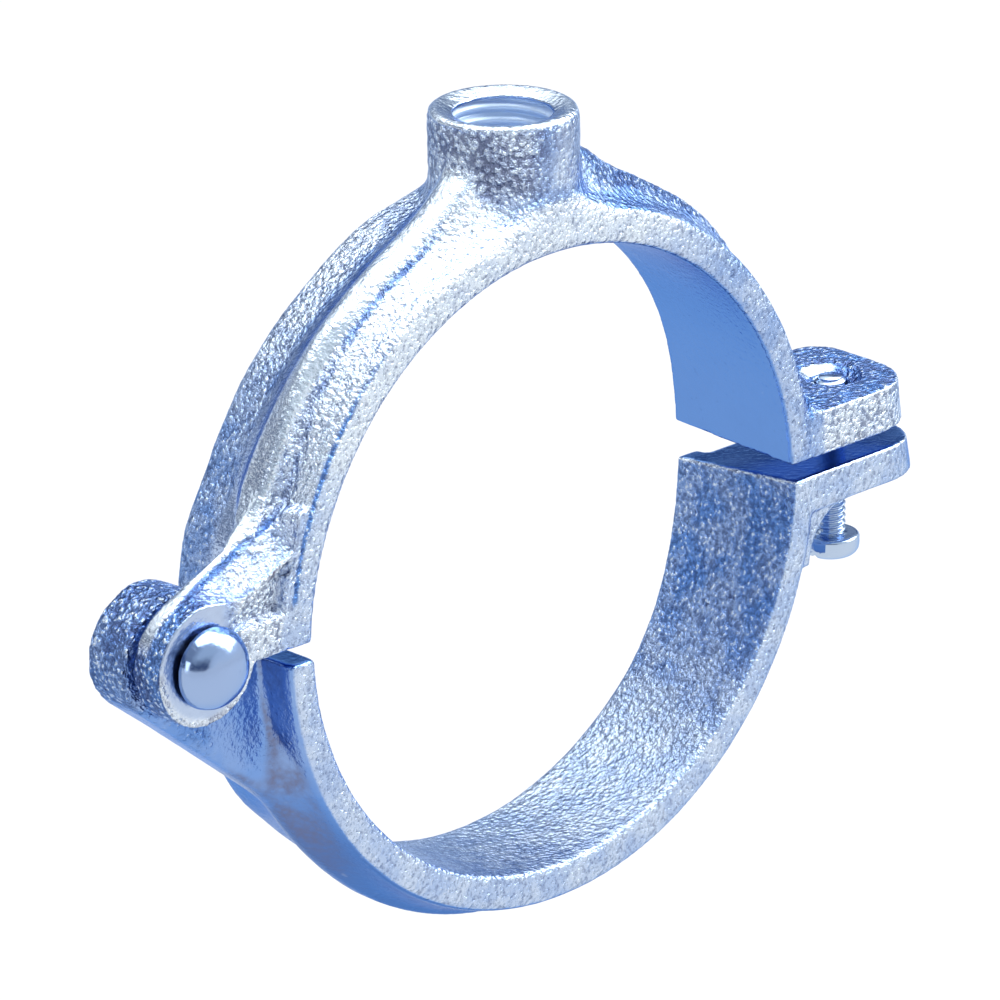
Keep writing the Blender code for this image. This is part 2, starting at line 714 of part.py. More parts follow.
def rivet(collection, material):
    """Domed head in front, plain shank, flat closed tail behind; turned about its own axis."""
    seat = -(FRONT_LUG_FACE - HINGE_CLEARANCE)
    tail = -(REAR_LUG_BACK + HINGE_CLEARANCE)
    profile = []
    for i in range(10):
        angle = math.radians(90.0 - 10.0 * i)
        profile.append(
            (
                RIVET_HEAD_RADIUS * math.cos(angle) ** 0.9,
                seat + RIVET_HEAD_HEIGHT * math.sin(angle),
            )
        )
    profile[0] = (0.0, seat + RIVET_HEAD_HEIGHT)
    profile[-1] = (RIVET_HEAD_RADIUS, seat)
    profile += [
        (RIVET_RADIUS, seat),
        (RIVET_RADIUS, tail),
        (RIVET_TAIL_RADIUS, tail),
        (RIVET_TAIL_RADIUS, tail - 0.6 * RIVET_TAIL_HEIGHT),
        (RIVET_TAIL_RADIUS - 0.4 * RIVET_TAIL_HEIGHT, tail - RIVET_TAIL_HEIGHT),
        (0.0, tail - RIVET_TAIL_HEIGHT),
    ]
    item = turned("hinge_rivet", profile, collection, 40)
    item.data.transform(Matrix.Rotation(math.radians(90.0), 4, "X"))
    item.matrix_world = Matrix.Translation((HINGE_X, 0.0, HINGE_Z))
    return finish_node(item, "hinge_rivet", material, (HINGE_X, 0.0, HINGE_Z))


def clamp_screw(collection, cutters, material):
    """A slotted pan head screw that enters from below."""
    low = SCREW_HEAD_SEAT - SCREW_HEAD_HEIGHT
    profile = [
        (0.0, SCREW_TIP),
        (SCREW_RADIUS - SCREW_TIP_CHAMFER, SCREW_TIP),
        (SCREW_RADIUS, SCREW_TIP - SCREW_TIP_CHAMFER),
        (SCREW_RADIUS, SCREW_HEAD_SEAT),
        (SCREW_HEAD_RADIUS - 0.25 * MM, SCREW_HEAD_SEAT),
    ]
    centre = (SCREW_HEAD_RADIUS - SCREW_HEAD_ROUND, low + SCREW_HEAD_ROUND)
    profile.append((SCREW_HEAD_RADIUS, SCREW_HEAD_SEAT - 0.3 * MM))
    profile += arc(centre, SCREW_HEAD_ROUND, 0.0, -90.0, 5)
    profile.append((0.0, low))
    item = turned("clamp_screw", profile, collection, 32)
    item.matrix_world = Matrix.Translation((SCREW_X, SCREW_SHIFT, 0.0))
    long = 4.0 * SCREW_HEAD_RADIUS
    deep = SLOT_DEPTH + OVERCUT
    centre = (SCREW_X, SCREW_SHIFT, low + SLOT_DEPTH - deep / 2.0)
    slot = block("cut_slot", (long, SLOT_WIDTH, deep), centre, cutters)
    item = boolean(item, slot, "DIFFERENCE")
    return finish_node(item, "clamp_screw", material, (SCREW_X, SCREW_SHIFT, SCREW_HEAD_SEAT))


def build():
    clear_scene()
    parts = new_collection("split_ring_hanger")
    cutters = new_collection("split_ring_hanger_cutters")
    casting = metal("zinc_casting", (0.30, 0.45, 0.70), 0.38, 0.9)
    bright = metal("bright_zinc", (0.62, 0.72, 0.86), 0.18, 1.0)
    upper = upper_half(parts, cutters, casting)
    lower = lower_half(parts, cutters, casting)
    pin = rivet(parts, bright)
    screw = clamp_screw(parts, cutters, bright)
    for child, parent in ((lower, upper), (pin, upper), (screw, lower)):
        child.parent = parent
        child.matrix_parent_inverse = parent.matrix_world.inverted()
    for item in list(cutters.objects):
        item.hide_render = True
        item.display_type = "WIRE"
    bpy.context.view_layer.update()


build()
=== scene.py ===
import math

import bmesh
import bpy
import numpy as np
from mathutils import Matrix, Vector

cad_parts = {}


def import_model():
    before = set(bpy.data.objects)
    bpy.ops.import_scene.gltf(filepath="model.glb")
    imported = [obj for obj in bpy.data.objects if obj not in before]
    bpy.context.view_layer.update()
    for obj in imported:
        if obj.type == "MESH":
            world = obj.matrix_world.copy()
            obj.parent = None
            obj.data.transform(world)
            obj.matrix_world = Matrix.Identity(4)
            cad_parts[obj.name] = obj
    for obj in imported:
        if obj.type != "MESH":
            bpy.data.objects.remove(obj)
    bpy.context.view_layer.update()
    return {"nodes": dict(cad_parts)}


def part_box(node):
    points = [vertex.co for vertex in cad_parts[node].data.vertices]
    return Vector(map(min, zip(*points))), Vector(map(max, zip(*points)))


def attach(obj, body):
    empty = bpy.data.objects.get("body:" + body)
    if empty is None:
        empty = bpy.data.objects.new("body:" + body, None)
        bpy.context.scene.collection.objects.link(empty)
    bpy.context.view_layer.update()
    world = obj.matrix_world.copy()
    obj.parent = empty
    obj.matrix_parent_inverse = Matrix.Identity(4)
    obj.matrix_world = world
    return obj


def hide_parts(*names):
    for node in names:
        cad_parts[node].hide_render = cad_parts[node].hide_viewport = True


MM = 0.001

# Places and sizes of the hanger, the same as in the part's source
RING_CENTRE = Vector((0.0, 0.0, -51.1 * MM))
BORE_RADIUS = 37.0 * MM
HINGE_PLACE = Vector((-52.3 * MM, 0.0, -48.2 * MM))
SCREW_PLACE = Vector((51.55 * MM, -0.4 * MM, -51.1 * MM))
SCREW_HEAD_SEAT = -13.0 * MM
SCREW_TIP = 6.35 * MM
ROD_HOLE_TOP = -1.0 * MM
ROD_HOLE_LENGTH = 16.0 * MM

# Sizes of the two cut threads, by the names of the thread tree's sockets
ROD_THREAD = {
    "Radius": 6.05 * MM,
    "Depth": 0.6 * MM,
    "Pitch": 1.5 * MM,
    "Tip": 0.0,
    "Sides": 96,
    "Rings": 140,
}
SCREW_THREAD = {
    "Radius": 1.75 * MM,
    "Depth": 0.42 * MM,
    "Pitch": 0.8 * MM,
    "Tip": 0.35 * MM,
    "Sides": 64,
    "Rings": 260,
}

# Fineness of the pieces' even meshes
CASTING_VOXEL = 0.34 * MM
RIVET_VOXEL = 0.16 * MM
SCREW_VOXEL = 0.12 * MM

# The camera, with its distances in bore radii
CAMERA_AZIMUTH = math.radians(-43.6)
CAMERA_ELEVATION = math.radians(21.0)
CAMERA_ROLL = math.radians(-0.8)
CAMERA_BACK = 21.16
CAMERA_LEFT = 0.0261
CAMERA_UP = 0.1273
SENSOR_WIDTH = 36.0
FOCAL_LENGTH = 253.16

# Colours of the plating
STAIN_COLOUR = (0.15, 0.135, 0.19, 1.0)
MIRROR_TINT = (0.5, 0.66, 0.95, 1.0)

# The floor, and the colours of the air that the metal mirrors
FLOOR_LEVEL = -0.165
FLOOR_REACH = 4.0
FLOOR_GLOW = 0.9
LOWEST_AIR = (1.0, 1.0, 1.0, 1.0)
LOW_AIR = (0.05, 0.09, 0.19, 1.0)
LOW_AIR_RIGHT = (0.92, 0.97, 1.02, 1.0)
HIGH_AIR_FRONT = (0.72, 0.80, 0.87, 1.0)
HIGH_AIR_LEFT = (0.34, 0.40, 0.50, 1.0)
HIGH_AIR_BEHIND = (1.35, 1.40, 1.42, 1.0)

# Each lamp's name, place from the ring's centre, width and brightness
LAMPS = (
    ("top", (0.06, 0.10, 0.85), 0.78, 3.4),
    ("right_front", (0.58, -0.28, 0.58), 0.74, 4.6),
    ("left", (-0.78, 0.02, 0.20), 0.26, 2.6),
)


# Helpers for node trees
def put(tree, kind, values=None, **settings):
    """Adds a node. values maps a socket's name or number to a number or to another's output."""
    node = tree.nodes.new(kind)
    for name, value in settings.items():
        setattr(node, name, value)
    for name, value in (values or {}).items():
        if isinstance(value, bpy.types.NodeSocket):
            tree.links.new(value, node.inputs[name])
        else:
            node.inputs[name].default_value = value
    return node


def calc(tree, operation, *values):
    """One step of arithmetic, and its output."""
    return put(tree, "ShaderNodeMath", dict(enumerate(values)), operation=operation).outputs[0]


def span(tree, value, low, high, to_low=0.0, to_high=1.0, smooth=False):
    """Maps the range low to high onto another range, and stops at its ends."""
    values = {
        "Value": value,
        "From Min": low,
        "From Max": high,
        "To Min": to_low,
        "To Max": to_high,
    }
    kind = "SMOOTHSTEP" if smooth else "LINEAR"
    return put(tree, "ShaderNodeMapRange", values, interpolation_type=kind).outputs[0]


def tint(tree, share, first, second):
    """Mixes two colours by a share."""
    values = {0: share, 6: first, 7: second}
    return put(tree, "ShaderNodeMix", values, data_type="RGBA").outputs[2]


def noise(tree, place, scale, detail, roughness=0.5):
    """A noise texture: its value and its colour."""
    values = {"Vector": place, "Scale": scale, "Detail": detail, "Roughness": roughness}
    return put(tree, "ShaderNodeTexNoise", values).outputs


def new_group(name, kind, inputs, outputs):
    """An empty node group with its named sockets, its input node and its output node."""
    group = bpy.data.node_groups.new(name, kind)
    for label, (socket, default) in inputs.items():
        item = group.interface.new_socket(label, in_out="INPUT", socket_type=socket)
        if default is not None:
            item.default_value = default
    for label, socket in outputs.items():
        group.interface.new_socket(label, in_out="OUTPUT", socket_type=socket)
    return group, group.nodes.new("NodeGroupInput"), group.nodes.new("NodeGroupOutput")


# Helpers for objects and meshes
def link_mesh(name, mesh):
    """A new object in the scene that shows the mesh."""
    item = bpy.data.objects.new(name, mesh)
    bpy.context.scene.collection.objects.link(item)
    return item


def plain_mesh(item):
    """Turns the object's modifiers into a plain mesh and takes them off."""
    graph = bpy.context.evaluated_depsgraph_get()
    mesh = bpy.data.meshes.new_from_object(item.evaluated_get(graph))
    item.modifiers.clear()
    item.data = mesh
    return item


def grow(item, tree, sizes):
    """Runs a geometry tree with the sizes given by socket name, and keeps the plain mesh."""
    modifier = item.modifiers.new("shape", "NODES")
    modifier.node_group = tree
    for socket in tree.interface.items_tree:
        if socket.in_out == "INPUT" and socket.name in sizes:
            modifier[socket.identifier] = sizes[socket.name]
    return plain_mesh(item)


def combine(item, other, operation):
    """Cuts the other shape out of the piece or joins it to the piece, and removes the other."""
    modifier = item.modifiers.new("combine", "BOOLEAN")
    modifier.operation = operation
    modifier.solver = "MANIFOLD"
    modifier.object = other
    plain_mesh(item)
    bpy.data.objects.remove(other)


def coordinates(mesh):
    """The mesh's points, one in each row."""
    co = np.zeros(len(mesh.vertices) * 3, np.float32)
    mesh.vertices.foreach_get("co", co)
    return co.reshape(-1, 3)


def set_coordinates(mesh, co):
    """Puts the mesh's points in new places."""
    mesh.vertices.foreach_set("co", co.astype(np.float32).ravel())
    mesh.update()


def make_camera():
    """The camera, at the viewing angle of the photograph."""
    level = math.cos(CAMERA_ELEVATION)
    back = Vector(
        (
            math.sin(CAMERA_AZIMUTH) * level,
            -math.cos(CAMERA_AZIMUTH) * level,
            math.sin(CAMERA_ELEVATION),
        )
    )
    right = Vector((math.cos(CAMERA_AZIMUTH), math.sin(CAMERA_AZIMUTH), 0.0))
    up = back.cross(right)
    side = math.cos(CAMERA_ROLL) * right + math.sin(CAMERA_ROLL) * up
    top = math.cos(CAMERA_ROLL) * up - math.sin(CAMERA_ROLL) * right
    camera = bpy.data.objects.new("camera", bpy.data.cameras.new("camera"))
    bpy.context.scene.collection.objects.link(camera)
    turn = Matrix((side, top, back)).transposed().to_4x4()
    way = back * CAMERA_BACK - side * CAMERA_LEFT + top * CAMERA_UP
    camera.matrix_world = Matrix.Translation(RING_CENTRE + BORE_RADIUS * way) @ turn
    camera.data.sensor_width = SENSOR_WIDTH
    camera.data.lens = FOCAL_LENGTH
    camera.data.clip_start = 0.05
    camera.data.clip_end = 20.0
    bpy.context.scene.camera = camera


# Groups of nodes that both the castings and the bright parts use
def grain_group():
    """Sandy grain of a plated casting: pimples, sand between them, small pits and broad patches."""
    inputs = {
        "Pimple Size": ("NodeSocketFloat", 0.68 * MM),
        "Sand Size": ("NodeSocketFloat", 0.38 * MM),
        "Sand Share": ("NodeSocketFloat", 0.45),
    }
    outputs = dict.fromkeys(("Height", "Pits", "Patches"), "NodeSocketFloat")
    group, start, end = new_group("plated_grain", "ShaderNodeTree", inputs, outputs)
    given = start.outputs
    place = put(group, "ShaderNodeTexCoord").outputs["Object"]
    pimple = calc(group, "DIVIDE", 1.0, given["Pimple Size"])
    sand = calc(group, "DIVIDE", 1.0, given["Sand Size"])

    # Pimples are round cells, bent a little out of their rows
    bend = {0: noise(group, place, pimple, 1.0)[1], "Scale": 0.3 * MM}
    shift = put(group, "ShaderNodeVectorMath", bend, operation="SCALE").outputs[0]
    bent = put(group, "ShaderNodeVectorMath", {0: place, 1: shift}, operation="ADD").outputs[0]
    cells = {"Vector": bent, "Scale": pimple, "Smoothness": 0.7}
    cell = put(group, "ShaderNodeTexVoronoi", cells, feature="SMOOTH_F1").outputs[0]
    humps = span(group, cell, 0.05, 0.75, 1.0, 0.0, smooth=True)
    dust = span(group, noise(group, place, sand, 2.5, 0.6)[0], 0.3, 0.7)
    hump_share = calc(group, "SUBTRACT", 1.0, given["Sand Share"])
    low = calc(group, "MULTIPLY", humps, hump_share)
    height = calc(group, "MULTIPLY_ADD", dust, given["Sand Share"], low)

    # Patches are much broader than the pimples, and pits a little broader
    broad = noise(group, place, calc(group, "MULTIPLY", pimple, 0.16), 3.0, 0.6)[0]
    patches = span(group, broad, 0.36, 0.64, smooth=True)
    fine = noise(group, place, calc(group, "MULTIPLY", pimple, 0.8), 3.0, 0.6)[0]
    pits = span(group, fine, 0.66, 0.72, smooth=True)
    for label, value in {"Height": height, "Pits": pits, "Patches": patches}.items():
        group.links.new(value, end.inputs[label])
    return group


def edges_and_hollow_shade_group():
    """Masks of sharp edges, which the plating makes paler, and of hollows, where it paints shade,
    from how sharply the surface bends.
    """
    inputs = {
        "Edge Start": ("NodeSocketFloat", 0.60),
        "Edge End": ("NodeSocketFloat", 0.74),
        "Hollow": ("NodeSocketFloat", 0.42),
    }
    outputs = dict.fromkeys(("Edges", "Hollows"), "NodeSocketFloat")
    group, start, end = new_group("edges_and_hollow_shade", "ShaderNodeTree", inputs, outputs)
    given = start.outputs
    flat = 0.5
    bend = put(group, "ShaderNodeNewGeometry").outputs["Pointiness"]
    edges = span(group, bend, given["Edge Start"], given["Edge End"], smooth=True)
    hollows = span(group, bend, given["Hollow"], flat, 1.0, 0.0, smooth=True)
    group.links.new(edges, end.inputs["Edges"])
    group.links.new(hollows, end.inputs["Hollows"])
    return group


def plating_and_painted_light_group():
    """Colours of bright zinc with a blue tint: dark in pits, paler on sharp edges, with painted
    highlights on the grain's pimples and painted shade in its low sand and in hollows.
    """
    inputs = {
        "Middle": ("NodeSocketColor", (0.14, 0.29, 0.65, 1.0)),
        "Pale": ("NodeSocketColor", (0.74, 0.82, 0.91, 1.0)),
        "Deep": ("NodeSocketColor", (0.05, 0.11, 0.33, 1.0)),
        "Dark": ("NodeSocketColor", (0.025, 0.05, 0.17, 1.0)),
        "Paleness": ("NodeSocketFloat", 0.3),
        "Patches": ("NodeSocketFloat", 0.5),
        "Pits": ("NodeSocketFloat", 0.0),
        "Edges": ("NodeSocketFloat", 0.0),
        "Hollows": ("NodeSocketFloat", 0.0),
        "Height": ("NodeSocketFloat", 0.5),
        "Stain": ("NodeSocketFloat", 0.0),
    }
    outputs = {"Base Color": "NodeSocketColor"}
    group, start, end = new_group("blue_plating_and_painted_light", "ShaderNodeTree", inputs, outputs)
    given = start.outputs

    # A share below 0 goes from the middle colour towards the deep one. On the castings Paleness
    # is the painted light and shade that each piece marks on its skin.
    cloud = calc(group, "SUBTRACT", given["Patches"], 0.5)
    share = calc(group, "MULTIPLY_ADD", cloud, 0.3, given["Paleness"])
    colour = tint(group, share, given["Middle"], given["Pale"])
    colour = tint(group, calc(group, "MULTIPLY", share, -1.0), colour, given["Deep"])
    # Painted highlights on high pimples, painted shade in low sand and in hollows, dark pits, paler
    # edges
    for part, shade in (
        (span(group, given["Height"], 0.62, 0.90, 0.0, 0.75), "Pale"),
        (span(group, given["Height"], 0.10, 0.40, 0.6, 0.0), "Dark"),
        (calc(group, "MULTIPLY", given["Pits"], 0.6), "Dark"),
        (calc(group, "MULTIPLY", given["Hollows"], 0.5), "Dark"),
        (calc(group, "MULTIPLY", given["Edges"], 0.8), "Pale"),
    ):
        colour = tint(group, part, colour, given[shade])

    # Stains lie thickest in the low places, and are broken up by the patches
    settled = span(group, given["Height"], 0.35, 0.65, 0.9, 0.35)
    broken = span(group, given["Patches"], 0.3, 0.7, 1.0, 0.15)
    stain = calc(group, "MULTIPLY", given["Stain"], settled)
    stain = calc(group, "MULTIPLY", stain, broken)
    colour = tint(group, stain, colour, STAIN_COLOUR)
    group.links.new(colour, end.inputs["Base Color"])
    return group


def metal(name, groups, grain, plating, roughness, bump, grit=None, metallic=1.0):
    """A plated metal: its own Principled shader, fed by the shared groups.

    grain and plating give values for those groups' sockets, roughness is the range over the
    patches, and bump is the strength and the depth of the relief. Without a grit of its own the
    metal reads the piece's attributes: grit, how rough the skin is, pale, the painted light and
    shade in its colour, and stain.
    """
    material = bpy.data.materials.new(name)
    material.use_nodes = True
    tree = material.node_tree
    shader = tree.nodes["Principled BSDF"]
    shader.inputs["Metallic"].default_value = metallic
    shader.inputs["Specular Tint"].default_value = MIRROR_TINT
    grain_node = put(tree, "ShaderNodeGroup", node_tree=groups["grain"])
    edges_and_shade_node = put(tree, "ShaderNodeGroup", node_tree=groups["edges_and_shade"])
    plating_node = put(tree, "ShaderNodeGroup", node_tree=groups["plating"])
    for node, values in ((grain_node, grain), (plating_node, plating)):
        for label, value in values.items():
            node.inputs[label].default_value = value
    feeds = {}
    if grit is None:
        grit = put(tree, "ShaderNodeAttribute", attribute_name="grit").outputs["Fac"]
        for mask, label in (("pale", "Paleness"), ("stain", "Stain")):
            feeds[label] = put(tree, "ShaderNodeAttribute", attribute_name=mask).outputs["Fac"]

    # Height and patches swing about their middle, the less the smoother the skin
    middle = 0.5
    level = calc(tree, "SUBTRACT", grain_node.outputs["Height"], middle)
    height = calc(tree, "ADD", calc(tree, "MULTIPLY", level, grit), middle)
    cloud = calc(tree, "SUBTRACT", grain_node.outputs["Patches"], middle)
    rough_part = calc(tree, "MINIMUM", grit, 1.0)
    feeds["Height"] = height
    feeds["Patches"] = calc(tree, "MULTIPLY_ADD", cloud, rough_part, middle)
    feeds["Pits"] = calc(tree, "MULTIPLY", grain_node.outputs["Pits"], grit)
    for label in ("Edges", "Hollows"):
        feeds[label] = calc(tree, "MULTIPLY", edges_and_shade_node.outputs[label], rough_part)
    for label, value in feeds.items():
        tree.links.new(value, plating_node.inputs[label])
    rough = span(tree, grain_node.outputs["Patches"], 0.0, 1.0, *roughness)
    relief = {"Strength": bump[0], "Distance": bump[1], "Height": height}
    tree.links.new(plating_node.outputs["Base Color"], shader.inputs["Base Color"])
    tree.links.new(rough, shader.inputs["Roughness"])
    tree.links.new(put(tree, "ShaderNodeBump", relief).outputs[0], shader.inputs["Normal"])
    return material


def make_finishes():
    """The castings' plated skin, and the smooth finishes of the rod thread, rivet and screw."""
    groups = {"grain": grain_group(), "edges_and_shade": edges_and_hollow_shade_group(), "plating": plating_and_painted_light_group()}
    smooth_grain = {"Pimple Size": 2.5 * MM, "Sand Size": 0.6 * MM}
    thread_colours = {
        "Middle": (0.62, 0.74, 0.90, 1.0),
        "Dark": (0.22, 0.32, 0.56, 1.0),
        "Paleness": 0.0,
    }
    rivet_colours = {"Middle": (0.26, 0.38, 0.64, 1.0), "Paleness": 0.12}
    screw_colours = {"Middle": (0.44, 0.54, 0.70, 1.0), "Paleness": 0.1}
    return {
        "casting": metal(
            "plated_casting",
            groups,
            grain={},
            plating={},
            roughness=(0.16, 0.26),
            bump=(1.0, 0.26 * MM),
        ),
        "thread": metal(
            "cut_thread",
            groups,
            grain={},
            plating=thread_colours,
            roughness=(0.35, 0.45),
            bump=(0.5, 0.05 * MM),
            grit=0.2,
            metallic=0.4,
        ),
        "bright": metal(
            "bright_zinc",
            groups,
            grain=smooth_grain,
            plating=rivet_colours,
            roughness=(0.10, 0.18),
            bump=(0.5, 0.1 * MM),
            grit=0.15,
        ),
        "screw": metal(
            "screw_zinc",
            groups,
            grain=smooth_grain,
            plating=screw_colours,
            roughness=(0.12, 0.22),
            bump=(0.5, 0.1 * MM),
            grit=0.2,
        ),
    }


# Shapes that follow a rule
def finish_tree(group, start, end, shape):
    """Every geometry tree ends with real faces, smooth shading and its material."""
    real = put(group, "GeometryNodeRealizeInstances", {"Geometry": shape}).outputs[0]
    soft = {"Geometry": real, "Shade Smooth": True}
    soft = put(group, "GeometryNodeSetShadeSmooth", soft).outputs[0]
    done = {"Geometry": soft, "Material": start.outputs["Finish"]}
    done = put(group, "GeometryNodeSetMaterial", done).outputs[0]
    group.links.new(done, end.inputs["Geometry"])


def skin_tree():
    """Sinks a casting's surface a little, by noise, the more the higher its grit attribute."""
    inputs = {
        "Geometry": ("NodeSocketGeometry", None),
        "Wave Size": ("NodeSocketFloat", 6.0 * MM),
        "Wave Depth": ("NodeSocketFloat", 0.10 * MM),
        "Dimple Size": ("NodeSocketFloat", 0.9 * MM),
        "Dimple Depth": ("NodeSocketFloat", 0.05 * MM),
        "Finish": ("NodeSocketMaterial", None),
    }
    outputs = {"Geometry": "NodeSocketGeometry"}
    group, start, end = new_group("casting_skin", "GeometryNodeTree", inputs, outputs)
    given = start.outputs
    place = put(group, "GeometryNodeInputPosition").outputs[0]
    normal = put(group, "GeometryNodeInputNormal").outputs[0]
    grit = {"Name": "grit"}
    grit = put(group, "GeometryNodeInputNamedAttribute", grit, data_type="FLOAT").outputs[0]
    depths = []
    for label in ("Wave", "Dimple"):
        scale = calc(group, "DIVIDE", 1.0, given[label + " Size"])
        share = span(group, noise(group, place, scale, 2.0)[0], 0.3, 0.7)
        depths.append(calc(group, "MULTIPLY", share, given[label + " Depth"]))
    depth = calc(group, "MULTIPLY", calc(group, "ADD", *depths), grit)
    inward = {0: normal, "Scale": calc(group, "MULTIPLY", depth, -1.0)}
    offset = put(group, "ShaderNodeVectorMath", inward, operation="SCALE").outputs[0]
    sunk = {"Geometry": given["Geometry"], "Offset": offset}
    sunk = put(group, "GeometryNodeSetPosition", sunk).outputs[0]
    finish_tree(group, start, end, sunk)
    return group


def thread_tree():
    """A round bar along Z with a right-hand thread and a chamfer at its upper end."""
    inputs = {
        "Geometry": ("NodeSocketGeometry", None),
        "Radius": ("NodeSocketFloat", 1.75 * MM),
        "Depth": ("NodeSocketFloat", 0.4 * MM),
        "Pitch": ("NodeSocketFloat", 0.8 * MM),
        "Length": ("NodeSocketFloat", 20.0 * MM),
        "Tip": ("NodeSocketFloat", 0.3 * MM),
        "Sides": ("NodeSocketInt", 48),
        "Rings": ("NodeSocketInt", 200),
        "Place": ("NodeSocketVector", (0.0, 0.0, 0.0)),
        "Finish": ("NodeSocketMaterial", None),
    }
    outputs = {"Geometry": "NodeSocketGeometry"}
    group, start, end = new_group("round_thread", "GeometryNodeTree", inputs, outputs)
    sizes = start.outputs
    bar = {
        "Vertices": sizes["Sides"],
        "Side Segments": sizes["Rings"],
        "Radius": sizes["Radius"],
        "Depth": sizes["Length"],
    }
    bar = put(group, "GeometryNodeMeshCylinder", bar).outputs[0]
    position = put(group, "GeometryNodeInputPosition").outputs[0]
    place = put(group, "ShaderNodeSeparateXYZ", {0: position}).outputs
    angle = calc(group, "DIVIDE", calc(group, "ARCTAN2", place[1], place[0]), math.tau)
    turns = calc(group, "SUBTRACT", calc(group, "DIVIDE", place[2], sizes["Pitch"]), angle)
    groove = span(group, calc(group, "PINGPONG", turns, 0.5), 0.06, 0.42)
    half = calc(group, "MULTIPLY", sizes["Length"], 0.5)
    from_end = calc(group, "SUBTRACT", half, place[2])
    chamfer = calc(group, "SUBTRACT", sizes["Tip"], from_end)
    cut = calc(group, "MAXIMUM", calc(group, "MULTIPLY", groove, sizes["Depth"]), chamfer)
    scale = calc(group, "SUBTRACT", 1.0, calc(group, "DIVIDE", cut, sizes["Radius"]))
    across = [calc(group, "MULTIPLY", place[i], scale) for i in (0, 1)]
    spot = {0: across[0], 1: across[1], 2: place[2]}
    spot = put(group, "ShaderNodeCombineXYZ", spot).outputs[0]
    moved = {"Geometry": bar, "Position": spot}
    moved = put(group, "GeometryNodeSetPosition", moved).outputs[0]
    set_down = {"Geometry": moved, "Translation": sizes["Place"]}
    set_down = put(group, "GeometryNodeTransform", set_down).outputs[0]
    finish_tree(group, start, end, set_down)
    return group


def threaded_bar(name, trees, thread, length, place, finish):
    """A bar with a thread cut into it, its middle at the place."""
    bar = link_mesh(name, bpy.data.meshes.new(name))
    sizes = {**thread, "Length": length, "Place": place, "Finish": finish}
    return grow(bar, trees["thread"], sizes)


# Masks: shares from 0 to 1 over a piece's points. Their numbers are millimetres from the ring's
# centre, degrees about it (0 at the clamp screw, 180 at the hinge), or parts of a normal.
def ease(value, low, high):
    """0 below low, 1 above high, and a smooth step between them."""
    share = np.clip((value - low) / (high - low), 0.0, 1.0)
    return share * share * (3.0 - 2.0 * share)


def under(value, full, none):
    """1 below full, 0 above none, and a smooth step between them."""
    return ease(-value, -none, -full)


def near(value, middle, full, none):
    """1 up to full from the middle, 0 beyond none from it, and a smooth step between them."""
    return under(np.abs(value - middle), full, none)


class Skin:
    """A piece's points and normals about the ring's centre, in millimetres."""

    def __init__(self, item):
        mesh = item.data
        normal = np.zeros(len(mesh.vertices) * 3, np.float32)
        mesh.vertices.foreach_get("normal", normal)
        self.mesh = mesh
        self.normal = normal.reshape(-1, 3)
        self.x, self.y, self.z = ((coordinates(mesh) - np.array(RING_CENTRE)) / MM).T
        self.nx, self.ny, self.nz = self.normal.T
        self.radius = np.hypot(self.x, self.z)
        self.angle = np.degrees(np.arctan2(self.z, self.x))
        self.outward = (self.nx * self.x + self.nz * self.z) / np.maximum(self.radius, 0.001)
        self.front = ease(-self.ny, 0.6, 0.9)
        self.top = ease(self.nz, 0.6, 0.9)
        self.height = self.z + RING_CENTRE.z / MM
        self.from_rod = np.hypot(self.x, self.y)
        height = self.z * MM + RING_CENTRE.z
        self.from_hinge = np.hypot(self.x * MM - HINGE_PLACE.x, height - HINGE_PLACE.z) / MM
        self.from_screw = np.hypot(self.x * MM - SCREW_PLACE.x, self.y * MM - SCREW_PLACE.y) / MM

    def sink(self, depth):
        """Moves each point inwards by its own depth."""
        set_coordinates(self.mesh, coordinates(self.mesh) - self.normal * (depth * MM)[:, None])

    def shift(self, direction, distance):
        """Moves each point along one direction by its own distance."""
        move = np.array(direction) * (distance * MM)[:, None]
        set_coordinates(self.mesh, coordinates(self.mesh) + move)

    def mark(self, name, values):
        """Keeps one value for each point as an attribute."""
        attribute = self.mesh.attributes.new(name, "FLOAT", "POINT")
        attribute.data.foreach_set("value", values.astype(np.float32))

    def paint(self, grit, pale, layers):
        """Marks grit and pale, the painted light and shade: one value all over, then each layer's
        values by its share.
        """
        grit = np.full(len(self.x), grit)
        pale = np.full(len(self.x), pale)
        for share, rough, light in layers:
            grit = grit + (rough - grit) * share
            pale = pale + (light - pale) * share
        self.mark("grit", grit)
        self.mark("pale", pale)


# Steps that pieces share
def merged_copy(name, node):
    """The CAD node's shape as a closed mesh of its own."""
    mesh = node.data.copy()
    mesh.materials.clear()
    if "custom_normal" in mesh.attributes:
        mesh.attributes.remove(mesh.attributes["custom_normal"])
    work = bmesh.new()
    work.from_mesh(mesh)
    bmesh.ops.remove_doubles(work, verts=work.verts, dist=0.002 * MM)
    work.to_mesh(mesh)
    work.free()
    return link_mesh(name, mesh)


def soften(item, voxel, rounds):
    """Gives the shape a fine even mesh with the small edge radii of a casting."""
    remesh = item.modifiers.new("even", "REMESH")
    remesh.mode = "VOXEL"
    remesh.voxel_size = voxel
    remesh.use_smooth_shade = True
    smooth = item.modifiers.new("smooth", "SMOOTH")
    smooth.factor = 0.5
    smooth.iterations = rounds
    return plain_mesh(item)


def round_off(item, places, rounds):
    """Rounds edges and hollows further where places(skin) is above 0, in eight levels."""
    levels = 8
    weights = places(Skin(item))
    group = item.vertex_groups.new(name="round")
    for level in range(1, levels + 1):
        picked = np.nonzero(np.round(weights * levels) == level)[0]
        group.add(picked.tolist(), level / levels, "REPLACE")
    smooth = item.modifiers.new("round", "SMOOTH")
    smooth.factor = 0.5
    smooth.iterations = rounds
    smooth.vertex_group = "round"
    plain_mesh(item)
    item.vertex_groups.clear()


